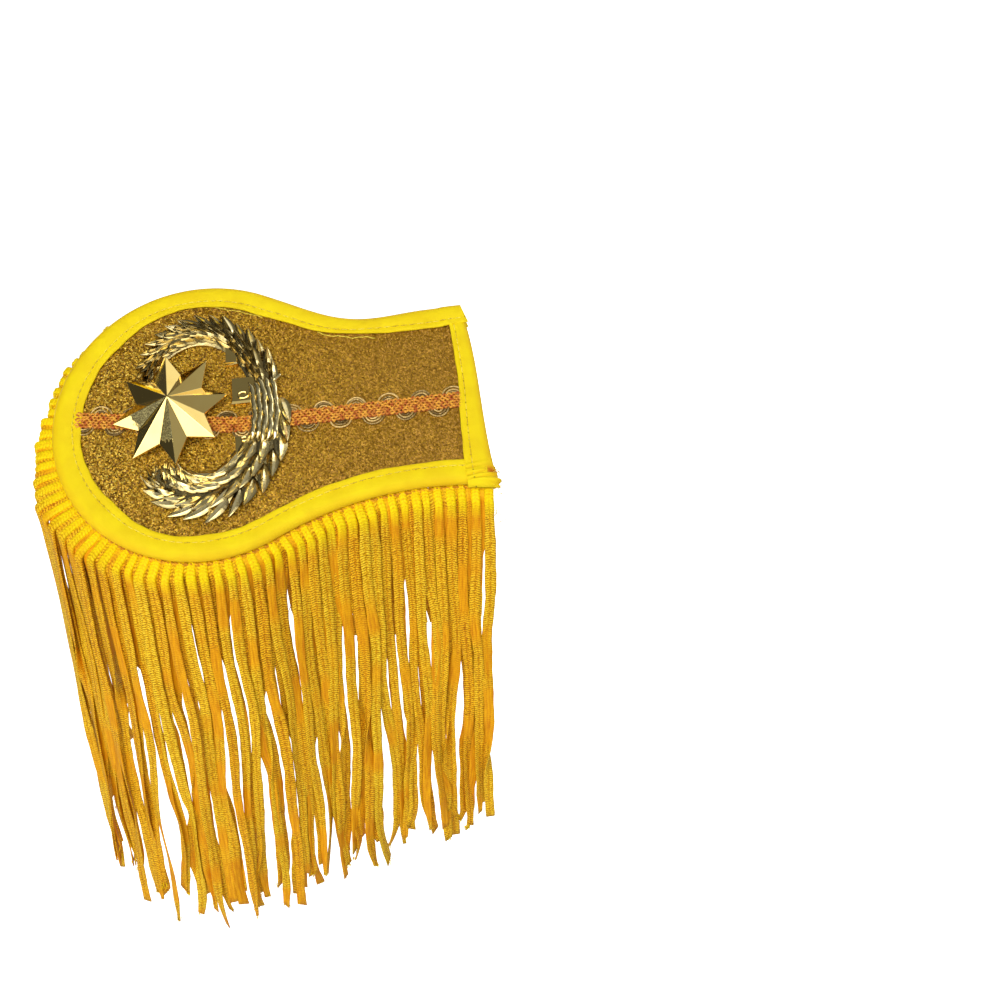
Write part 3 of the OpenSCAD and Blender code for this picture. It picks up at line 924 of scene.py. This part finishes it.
# Lugs on the wreath's inner side: middle from the wreath's middle, size, radius of the ring on top,
# if there is one, and the ring's place
LUGS = [((15.5, 8.4), (9.4, 10.4), 1.2, (-0.2, -2.4)), ((11.5, 23.4), (4.4, 9.6), 0.0, (0, 0)),
        ((14.2, -12.4), (5.0, 6.5), 0.7, (1.0, 1.7))]
LUG_H = 2.1


def lugs():
    """Low blocks with drawn-in tops, some with a small oval ring."""
    pile = Pile()
    levels = [(1.0, 0.0), (1.0, LUG_H - 1.1), (0.97, LUG_H - 0.8), (0.86, LUG_H)]
    for (x, y), size, radius, ring_at in LUGS:
        middle = np.array([x + WREATH_X, y])
        corners = np.array([(-1, -1), (1, -1), (1, 1), (-1, 1)]) * size / 2
        pile.grid(np.array([on_board(corners * share + middle, SEAT_Z + z) for share, z in levels]))
        if radius:
            turn = np.linspace(0, 2 * math.pi, 29)
            oval = np.stack([np.cos(turn) * radius * 1.4, np.sin(turn) * radius], -1)
            pile.tube(on_board(oval + middle + ring_at, SEAT_Z + LUG_H + 0.1), 0.32, 8)
    pile.make("wreath_lugs", STAR_METAL, "badge_metal", smooth=False)


wreath()
wreath_tie()
lugs()


# Star
STAR_PAST = 10.1
STAR_Y = 2.65
STAR_R = 20.5
STAR_NOTCH = 12.65
STAR_RAYS = 8
STAR_TURN = math.radians(7.1)
STAR_LONGER = 0.055
STAR_LONG_WAY = math.radians(65)
STAR_LIFT = 3.2
STAR_SKIRT = 0.9
STAR_RISE = 7.0
STAR_LOW = BOARD_T + STAR_LIFT
STAR_HIGH = STAR_LOW + STAR_SKIRT
APEX_SHIFT = (0.69, 1.35)
STAR_BEVEL = 0.16
PEG_R = 1.4
PEGS_AT = (STAR_NOTCH * 0.75, -STAR_NOTCH * 0.95)
# Faces with a painted reflection of the glitter cloth, by the way that their middles lie from the
# star's middle, in degrees
REFLECTING_FACES = (-166, -91)
REFLECTING_WITHIN = 8
REFLECTION_REACH = 14.8


def glitter_reflection_metal(apex):
    """A painted reflection of the glitter cloth: the plating is dull and speckled out to a ragged edge
    some way from the apex.
    """
    f = Finish("glitter_reflection_metal", Metallic=1.0)
    away = f.vector("SUBTRACT", f.spot(), tuple(apex))
    reach = f.node("VectorMath", {0: away}, operation="LENGTH").outputs["Value"]
    reach = f.plus(reach, f.times(f.noise(1.1, 3), 4.0))
    # Share of the face that carries the painted reflection.
    reflected = f.span(reach, REFLECTION_REACH + 1.9, REFLECTION_REACH + 2.3, 1.0, 0.0)
    speck = f.noise(2.6, 3, roughness=0.8)
    reflected_glitter = f.ramp(speck, [(0.36, (52, 44, 20)), (0.5, (104, 92, 48)), (0.62, (178, 166, 104))])
    f.set("Base Color", f.mix(reflected, (249, 220, 134), reflected_glitter))
    f.set("Roughness", f.span(reflected, 0.0, 1.0, 0.07, 0.55))
    f.set("Metallic", f.span(reflected, 0.0, 1.0, 1.0, 0.4))
    f.bump(f.times(speck, reflected), 0.06)
    return f.material


def star():
    """The faceted star on its two pegs, with a slim bevel along every ridge and a painted reflection of
    the glitter cloth on some faces.
    """
    count = 2 * STAR_RAYS
    a = STAR_TURN + np.arange(count) * math.pi / STAR_RAYS
    reach = np.where(np.arange(count) % 2 == 0, STAR_R, STAR_NOTCH)
    flat = np.stack([reach * np.cos(a), reach * np.sin(a)], -1)
    along = np.array([math.cos(STAR_LONG_WAY), math.sin(STAR_LONG_WAY)])
    middle = np.array([HEAD_X - STAR_PAST, STAR_Y])
    flat = flat * (1 - STAR_LONGER) + 2 * STAR_LONGER * (flat @ along)[:, None] * along + middle
    low = on_board(flat, STAR_LOW)
    high = on_board(flat, STAR_HIGH)
    apex = on_board([middle + APEX_SHIFT], STAR_HIGH + STAR_RISE)
    form = bmesh.new()
    points = [form.verts.new(p * MM) for p in np.concatenate([low, high, apex])]
    for i in range(count):
        j = (i + 1) % count
        form.faces.new([points[i], points[j], points[j + count], points[i + count]])
        form.faces.new([points[i + count], points[j + count], points[2 * count]])
    form.faces.new(points[:count][::-1])
    bmesh.ops.recalc_face_normals(form, faces=form.faces)
    edges = [e for e in form.edges if points[2 * count] in e.verts or abs(e.calc_face_angle(0)) > 0.5]
    bmesh.ops.bevel(form, geom=edges, offset=STAR_BEVEL * MM, segments=2, profile=0.6, affect="EDGES")
    for y in PEGS_AT:
        foot = on_board([middle + [0, y]], SEAT_Z + (STAR_LIFT - GAP) / 2)[0]
        made = bmesh.ops.create_cone(form, cap_ends=True, segments=20, radius1=PEG_R * MM,
                                     radius2=PEG_R * MM, depth=(STAR_LIFT - GAP + 0.4) * MM)
        turn = Matrix(TILT.tolist()).to_4x4()
        turn.translation = Vector(foot * MM)
        bmesh.ops.transform(form, matrix=turn, verts=made["verts"])
    mesh = mesh_of("star", form)
    place("star", mesh, STAR_METAL, "badge_metal", ("star_badge",))
    mesh.materials.append(glitter_reflection_metal(apex[0]))
    for face in mesh.polygons:
        spot = np.array(face.center) / MM @ TILT - [*middle, 0]
        way = math.degrees(math.atan2(spot[1], spot[0]))
        # Faces that carry the painted reflection of the glitter cloth get the second material.
        if spot[2] > STAR_HIGH + 0.3 and any(abs(way - reflected) < REFLECTING_WITHIN for reflected in REFLECTING_FACES):
            face.material_index = 1


star()


# Fringe
FRINGE_LEN = 183.0
STRAP_LESS = 15.0
FAR_LESS = 28.0
HEAD_LEAN = 5.0
RAGGED = 0.11
# How far the cords stand out of the rim, by the way it faces: 0 is the near side, 90 the head's tip
BULGE_AT = [-180, -90, -20, 5, 35, 60, 75, 88, 100, 112, 125, 150, 165, 180]
BULGE = [-1.0, 1.0, 5.0, 5.6, 8.6, 11.2, 9.4, 6.6, 4.2, 4.2, 2.4, 0.8, 0.0, -1.0]
CORD_PITCH = 3.9
CORD_W = 3.65
CORD_END_W = 3.75
CORD_TOP_W = 2.9
CORD_T = 0.6
CORD_TOP_T = 1.9
BACK_IN = 1.0
ARC_ROWS = 11
DROP_ROWS = 54
FIRST_U = 0.9
# Half of a cord's section, as shares of its half width and half thickness, with a groove in the middle
CORD_HALF = [(-1.0, 0.0), (-0.93, 0.7), (-0.5, 1.0), (0.0, 0.84), (0.5, 1.0), (0.93, 0.7)]
CORD_SECTION = np.array(CORD_HALF + [(-x, -y) for x, y in CORD_HALF])
DOWN = np.array([0.0, 0.0, -1.0])


def locks():
    """Neighbouring cords that draw together as they fall.

    Each lock is its start, its end, its pull, where that begins, its drift and its phase.
    """
    draw = random.Random(77)
    count = int((RIM_LEN - 2 * FIRST_U) / CORD_PITCH)
    step = (RIM_LEN - 2 * FIRST_U) / count
    found = []
    i = 0
    while i < count:
        cords = draw.choice((1, 1, 1, 2, 2, 3))
        pull = draw.uniform(0.1, 0.35) / cords ** 0.4
        found.append((FIRST_U + i * step, FIRST_U + (i + cords) * step, pull, draw.uniform(30, 95),
                      draw.uniform(-1.3, 1.3), draw.random()))
        i += cords
    return found, count, step


LOCKS, CORDS, STEP = locks()
# Kinds of slits: the share of cords that have one, then its least and greatest start, length and
# half width
SLIT_KINDS = [(0.7, (2, 50), (60, 125), (0.12, 0.55)), (0.42, (72, 130), (60, 120), (0.1, 0.4)),
              (0.08, (20, 70), (90, 140), (0.8, 1.3))]
# Slits that open towards the foot, given in the same way
FOOT_SLITS = (0.4, (118, 150), (80, 140), (0.3, 1.3))
TIP_SLITS = 0.4


def slits():
    """Needle-shaped openings between neighbouring cords: place, start, length and half width.

    There are fewer of them round the head's tip.
    """
    draw = random.Random(91)
    found = []
    for i in range(1, CORDS):
        at = FIRST_U + i * STEP
        fewer = TIP_SLITS if -rim(at)[1][0] > 0.6 else 1.0
        for share, *spans in SLIT_KINDS:
            if draw.random() < share * fewer:
                found.append((at, *(draw.uniform(*span) for span in spans)))
    share, *spans = FOOT_SLITS
    for i in range(1, CORDS):
        if draw.random() < share:
            found.append((FIRST_U + i * STEP, *(draw.uniform(*span) for span in spans)))
    return found


SLITS = slits()


def parted(u, half, s):
    """How far a cord moves along the rim, at distances s below it, to leave its slits open."""
    shift = np.zeros_like(s)
    for at, begin, length, wide in SLITS:
        apart = u - at
        if abs(apart) < 1.5 * STEP:
            needle = np.sin(np.pi * np.clip((s - begin) / length, 0, 1))
            room = max(half - abs(apart), 0) * ease(needle * 2.4) + wide * needle ** 1.2
            shift += math.copysign(1, apart) * room
    return shift


def cord_path(u, layer, draw):
    """One cord's middle line, from the header down, and its outward direction."""
    spot, out = rim(u)
    farness = ((1 + out[1]) / 2) ** 2
    strap_share = (spot[0] - (END_X - BOARD_LEN)) / BOARD_LEN
    facing = math.degrees(math.atan2(-out[0], -out[1]))
    bulge = np.interp(facing, BULGE_AT, BULGE) + float(waves(u, 60, (23, 9.5), (0.5, 0.5)))
    bulge += draw.uniform(-0.5, 0.5) - BACK_IN * layer
    root = on_board(spot - out * 1.8, HEADER_Z - 0.5 - 0.6 * layer)
    turn = on_board(spot + out * bulge, HEADER_Z - 2.6 - 0.7 * layer) + DOWN * 1.4
    outward = tilted([out[0], out[1], 0])
    t = np.linspace(0, 1, ARC_ROWS)[:, None]
    reach = max(bulge + 1.8, 1.6)
    pull_out = root + outward * reach * 0.95 + BOARD_UP * 0.5
    pull_up = turn - DOWN * 3.4
    arc = ((1 - t) ** 3 * root + 3 * (1 - t) ** 2 * t * pull_out + 3 * (1 - t) * t ** 2 * pull_up
           + t ** 3 * turn)
    length = FRINGE_LEN - STRAP_LESS * strap_share - FAR_LESS * farness
    length = length * (1 - RAGGED * draw.random() ** 1.2) - 2.5 * layer
    q = np.linspace(0, 1, DROP_ROWS + 1)[1:]
    s = q * length
    back = unit(np.array([out[1], -out[0], 0.0]))
    ahead = unit(np.array([out[0], out[1], 0.0]))
    start, end, pull, begin, drift, phase = next((k for k in LOCKS if u < k[1]), LOCKS[-1])
    aside = ((start + end) / 2 - u) * pull * ease((s - begin) / 75) + drift * q ** 1.2
    aside += parted(u, CORD_W / 2, s)
    aside += float(waves(u, 70, (41, 19), (2.0, 1.4))) * q
    loose = np.minimum(q * 3, 1)
    aside += waves(s, phase, (150, 70), (0.9, 0.4)) * loose
    aside += waves(s, draw.random(), (120, 55), (0.35, 0.15)) * loose
    hook = draw.uniform(-4.5, 4.5) if draw.random() < 0.3 else draw.uniform(-1, 1)
    aside += hook * np.clip((s - length + 18) / 18, 0, 1) ** 2
    if u < 8:
        aside = np.maximum(aside, -0.2)
    elif u > RIM_LEN - 8:
        aside = np.minimum(aside, 0.2)
    depth = float(waves(u, 80, (26, 13), (1.2, 0.8)))
    surge = waves(s, draw.random(), (150, 70), (0.5, 0.25)) + draw.uniform(-0.9, 0.9) * q
    lean = np.array([-HEAD_LEAN * (1 - strap_share), 0.0, 0.0])
    drop = (turn + DOWN * s[:, None] + lean * (q ** 1.1)[:, None] + back * aside[:, None]
            + ahead * (depth * q + surge * loose)[:, None])
    return np.concatenate([arc, drop]), out


def cord_rows(path, out, draw):
    """Rows of a flat cord along its path: it turns about itself as it falls."""
    tangent = unit(np.gradient(path, axis=0))
    steps = np.linalg.norm(np.diff(path, axis=0), axis=1)
    along = np.concatenate([[0], np.cumsum(steps)])
    level = unit(tilted([-out[1], out[0], 0.0]))
    across = unit(level - tangent * (tangent @ level)[:, None])
    through = np.cross(tangent, across)
    fall = np.clip((along - 30) / 130, 0, 1)
    twist = fall * waves(along, draw.random(), (190, 90), (0.6, 0.35)) + draw.uniform(-0.12, 0.12)
    if draw.random() < 0.14:
        centre = draw.uniform(60, 140)
        twist += math.pi / (1 + np.exp(-(along - centre) / 7))
    side = across * np.cos(twist)[:, None] + through * np.sin(twist)[:, None]
    face = np.cross(tangent, side)
    spread = ease((along - 8) / 14)
    low = np.clip((along - 50) / 60, 0, 1)
    width = CORD_TOP_W + (CORD_W - CORD_TOP_W) * spread + (CORD_END_W - CORD_W) * low
    width = width / 2 * np.clip(0.8 + along / 20, 0, 1) * draw.uniform(0.88, 1.1)
    width *= 1 + waves(along, draw.random(), (40, 17, 7.3), (0.06, 0.05, 0.03))
    width *= 1 - draw.uniform(-0.15, 0.6) * ease((along - along[-1] + 14) / 14)
    thick = (CORD_TOP_T + (CORD_T - CORD_TOP_T) * spread) / 2
    rows = (path[:, None] + side[:, None] * (CORD_SECTION[:, :1] * width[:, None, None])
            + face[:, None] * (CORD_SECTION[:, 1:] * thick[:, None, None]))
    slant = draw.uniform(-1.6, 1.6)
    rows = rows + face[:, None] * (draw.choice((-0.3, 0.3)) * spread)[:, None, None]
    rows[-1] = rows[-1] + tangent[-1] * (CORD_SECTION[:, :1] * slant)
    return rows, along


def fringe_layer(name, layer, stands_for=()):
    """One layer of cords. The back layer's cords start between the front ones, and painted shade makes
    them darker, most of all at the top.
    """
    pile = Pile()
    draw = random.Random(100 + layer)
    across = np.append(CORD_SECTION[:, 0], CORD_SECTION[0, 0])
    ends = []
    for i in range(CORDS - layer):
        u = FIRST_U + (i + 0.5 + 0.5 * layer) * STEP + draw.uniform(-0.35, 0.35)
        path, out = cord_path(u, layer, draw)
        rows, along = cord_rows(path, out, draw)
        # Tone differs at random; the back layer gets painted shade: a lower tone and a shorter bright
        # top.
        tone = min(max(0.5 + draw.gauss(0, 0.28) - 0.22 * layer, 0), 1)
        drop = along / FRINGE_LEN + 0.04 * layer
        pile.grid(rows, across=across, along=along + draw.uniform(0, 9), tone=tone, drop=drop)
        ends.append((path[-1], unit(path[-1] - path[-3]), tone))
    pile.make(name, CORD, "fringe_cord", stands_for)
    return ends


def frayed_ends(ends):
    """A few fine threads that stick out of the cords' cut ends."""
    pile = Pile()
    draw = random.Random(55)
    t = np.linspace(0, 1, 5)[:, None]
    for end, way, tone in ends:
        for _ in range(draw.choice((0, 2, 4, 6))):
            root = end + [*scatter(draw, (-1.1, 1.1), (-0.6, 0.6)), 1.0]
            drift = scatter(draw, (-1, 1), (-1, 1), (-0.3, 0.3))
            length = draw.uniform(1.2, 3.6)
            path = root + way * length * t + drift * length * 0.5 * t ** 2
            section = ring(1, 4)[None] * (0.2 * (1 - 0.6 * t[:, :, None]))
            pile.grid(swept(path, section, (0.3, 1, 0.1)), tone=tone)
    pile.make("frayed_ends", CORD, "fringe_cord")


def header():
    """The fringe's woven heading under the rim, with a two-ply cord along its edge."""
    pile = Pile()
    u = np.arange(0.5, RIM_LEN - 0.5, 1.5)
    points, out = rim(u)
    outline = np.array([(HEADER_IN, 0), (HEADER_IN, -HEADER_T), (HEADER_IN + HEADER_W, -HEADER_T),
                        (HEADER_IN + HEADER_W, 0)])
    rows = on_board(points[:, None] - out[:, None] * outline[:, :1], HEADER_Z + outline[:, 1])
    pile.grid(rows)
    u = np.arange(1.0, RIM_LEN - 1.0, 0.55)
    points, out = rim(u)
    for ply in (0, math.pi):
        turn = 2 * math.pi * u / 3.2 + ply
        reach = 0.2 - 1.1 * ((1 + out[:, 1]) / 2) ** 0.5 + 0.35 * np.cos(turn)
        path = on_board(points + out * reach[:, None], TAPE_LOW - 0.4 + 0.35 * np.sin(turn))
        pile.tube(path, 0.42, 6, 0.5 + 0.3 * np.sin(u * 1.7 + ply))
    pile.make("fringe_heading", HEADING, "fringe_cord")


header()
front_ends = fringe_layer("fringe_front", 0, ("fringe",))
back_ends = fringe_layer("fringe_back", 1)
frayed_ends(front_ends + back_ends)


# Floor, world and lights
FLOOR_Z = -0.62
FLOOR_R = 12.0


def floor():
    """A wide round floor below the fringe, which the camera sees as plain white."""
    form = bmesh.new()
    bmesh.ops.create_circle(form, cap_ends=True, segments=96, radius=FLOOR_R)
    mesh = mesh_of("floor", form)
    ground = added("floor", mesh)
    ground.location = (0, 0, FLOOR_Z)
    f = Finish("floor", Roughness=0.9)
    f.shader.inputs["Base Color"].default_value = (0.85, 0.85, 0.85, 1)
    seen = f.node("LightPath").outputs["Is Camera Ray"]
    f.shader.inputs["Emission Color"].default_value = (1, 1, 1, 1)
    f.set("Emission Strength", seen)
    mesh.materials.append(f.material)


def area_light(name, at, aim, size, power):
    data = bpy.data.lights.new(name, "AREA")
    data.shape = "RECTANGLE"
    data.size, data.size_y = size
    data.energy = power
    lamp = added(name, data)
    lamp.location = at
    lamp.rotation_euler = (Vector(aim) - Vector(at)).to_track_quat("-Z", "Y").to_euler()


ROOM_DARK = 0.05
ROOM_LIGHT = 0.36


def world_light():
    """A dim room, darker on the left, that stands behind the object as plain white."""
    world = bpy.data.worlds.new("studio")
    scene.world = world
    world.use_nodes = True
    n = Nodes(world.node_tree)
    at = n.node("TexCoord").outputs["Generated"]
    across = n.node("SeparateXYZ", {0: at}).outputs[0]
    room = n.span(across, -0.8, 0.8, ROOM_DARK, ROOM_LIGHT)
    seen = n.node("LightPath").outputs["Is Camera Ray"]
    back = n.tree.nodes["Background"]
    back.inputs["Color"].default_value = (1, 1, 1, 1)
    n.join(n.math("MAXIMUM", room, seen), back.inputs["Strength"])


# Lights: name, place, the spot that it faces, size and power
LIGHTS = [("key", (-0.15, -0.95, 0.95), (-0.03, 0.0, 0.0), (1.3, 0.8), 14.0),
          ("front", (-0.38, -1.12, 0.42), (-0.067, 0.0, 0.02), (1.5, 0.4), 4.4),
          ("low", (-0.95, -0.7, -0.18), (-0.08, 0.0, -0.1), (0.6, 0.5), 3.0),
          ("back", (0.5, 1.3, 0.72), (-0.03, 0.0, 0.0), (2.2, 1.3), 7.0),
          ("side", (1.0, 0.3, 0.5), (-0.03, 0.0, 0.0), (0.22, 0.9), 2.4),
          ("rear", (-0.5, 1.2, -0.36), (-0.03, 0.0, -0.1), (1.6, 0.34), 8.0)]

floor()
world_light()
for light in LIGHTS:
    area_light(*light)
scene.view_settings.view_transform = "Standard"
